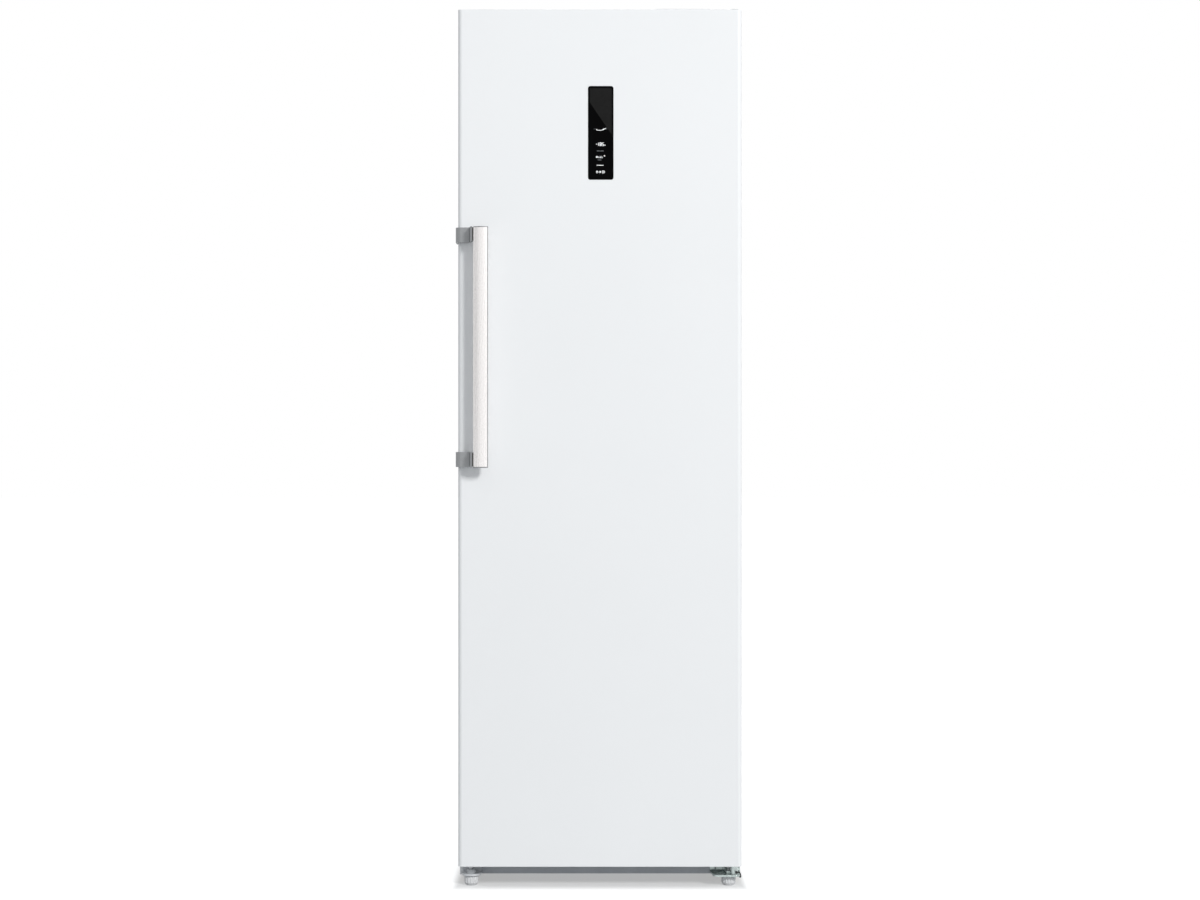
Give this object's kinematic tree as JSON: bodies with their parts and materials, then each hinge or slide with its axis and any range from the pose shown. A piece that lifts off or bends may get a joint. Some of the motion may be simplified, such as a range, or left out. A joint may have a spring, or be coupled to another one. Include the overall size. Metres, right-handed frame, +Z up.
{
  "type": "upright freezer",
  "caption": "Free-standing upright freezer with a full-height hinged door, side bar handle, slim display, drawers, flaps, compressor bay, screw feet and rear rollers.",
  "frame": {"origin": "on the floor, under the middle of the whole object", "axes": "+Z up, the door faces -Y, the door's hinge is on the +X side"},
  "size_m": [0.5995, 0.697, 1.85],
  "materials": {
    "white_paint": "satin",
    "inner_white": "satin",
    "cap_white": "matte",
    "grey_plastic": "matte",
    "dark_rail": "satin",
    "foam": "matte",
    "seal": "matte",
    "handle_aluminium": "satin",
    "handle_bracket_grey": "satin",
    "black_glass": "gloss",
    "black_plastic": "matte",
    "zinc": "satin",
    "foot_grey": "matte",
    "shelf_glass": "gloss",
    "clear_drawer": "gloss",
    "copper": "satin",
    "compressor_black": "satin",
    "bare_aluminium": "satin",
    "galvanised": "satin",
    "lamp_lens": "satin"
  },
  "bodies": {
    "cabinet": {"outer_wrap": "white_paint", "inner_liner": "inner_white", "duct_cover": "inner_white", "top_hinge_cover": "cap_white", "control_box": "grey_plastic", "fan_shroud": "grey_plastic", "front_rail": "dark_rail", "insulation_foam": "foam", "start_relay_cover": "black_plastic", "evaporation_tray": "black_plastic", "power_inlet": "black_plastic", "top_hinge_bracket": "zinc", "lower_hinge_bracket": "zinc", "left_foot_bracket": "zinc", "glass_shelf_1": "shelf_glass", "glass_shelf_2": "shelf_glass", "glass_shelf_3": "shelf_glass", "glass_shelf_4": "shelf_glass", "glass_shelf_5": "shelf_glass", "glass_shelf_6": "shelf_glass", "glass_shelf_7": "shelf_glass", "bottom_drawer": "clear_drawer", "drawer_1": "clear_drawer", "drawer_2": "clear_drawer", "drawer_3": "clear_drawer", "drawer_4": "clear_drawer", "drawer_5": "clear_drawer", "compartment_flap_1": "clear_drawer", "compartment_flap_2": "clear_drawer", "discharge_pipe": "copper", "suction_pipe": "copper", "filter_drier": "copper", "compressor": "compressor_black", "evaporator_coil": "bare_aluminium", "defrost_heater": "bare_aluminium", "back_panel": "galvanised", "base_pan": "galvanised", "compressor_plate": "galvanised", "rear_left_roller_fork": "galvanised", "rear_right_roller_fork": "galvanised", "interior_lamp": "lamp_lens"},
    "door": {"door_skin": "white_paint", "door_liner": "inner_white", "door_foam": "foam", "door_top_cap": "cap_white", "door_bottom_cap": "cap_white", "door_gasket": "seal", "upper_hinge_bush": "grey_plastic", "lower_hinge_bush": "grey_plastic", "display_housing": "black_plastic", "display_glass": "black_glass", "handle_bar": "handle_aluminium", "handle_upper_bracket": "handle_bracket_grey", "handle_lower_bracket": "handle_bracket_grey"},
    "left_foot": {"front_left_foot": "foot_grey"},
    "right_foot": {"front_right_foot": "foot_grey"},
    "left_roller": {"rear_left_roller": "black_plastic"},
    "right_roller": {"rear_right_roller": "black_plastic"},
    "fan": {"evaporator_fan": "black_plastic"}
  },
  "joints": [
    {"name": "door_hinge", "type": "hinge", "parent": "cabinet", "child": "door", "pos_m": [0.2825, -0.2765, 0.943], "axis": [0, 0, 1], "range_deg": [0, 120]},
    {"name": "left_foot_screw", "type": "slide", "parent": "cabinet", "child": "left_foot", "axis": [0, 0, -1], "range_m": [0, 0.012]},
    {"name": "right_foot_screw", "type": "slide", "parent": "cabinet", "child": "right_foot", "axis": [0, 0, -1], "range_m": [0, 0.012]},
    {"name": "left_roller_spin", "type": "hinge", "parent": "cabinet", "child": "left_roller", "pos_m": [-0.225, 0.3025, 0.016], "axis": [1, 0, 0], "continuous": true},
    {"name": "right_roller_spin", "type": "hinge", "parent": "cabinet", "child": "right_roller", "pos_m": [0.225, 0.3025, 0.016], "axis": [1, 0, 0], "continuous": true},
    {"name": "fan_spin", "type": "hinge", "parent": "cabinet", "child": "fan", "pos_m": [0, 0.2415, 0.86], "axis": [0, 1, 0], "continuous": true}
  ]
}
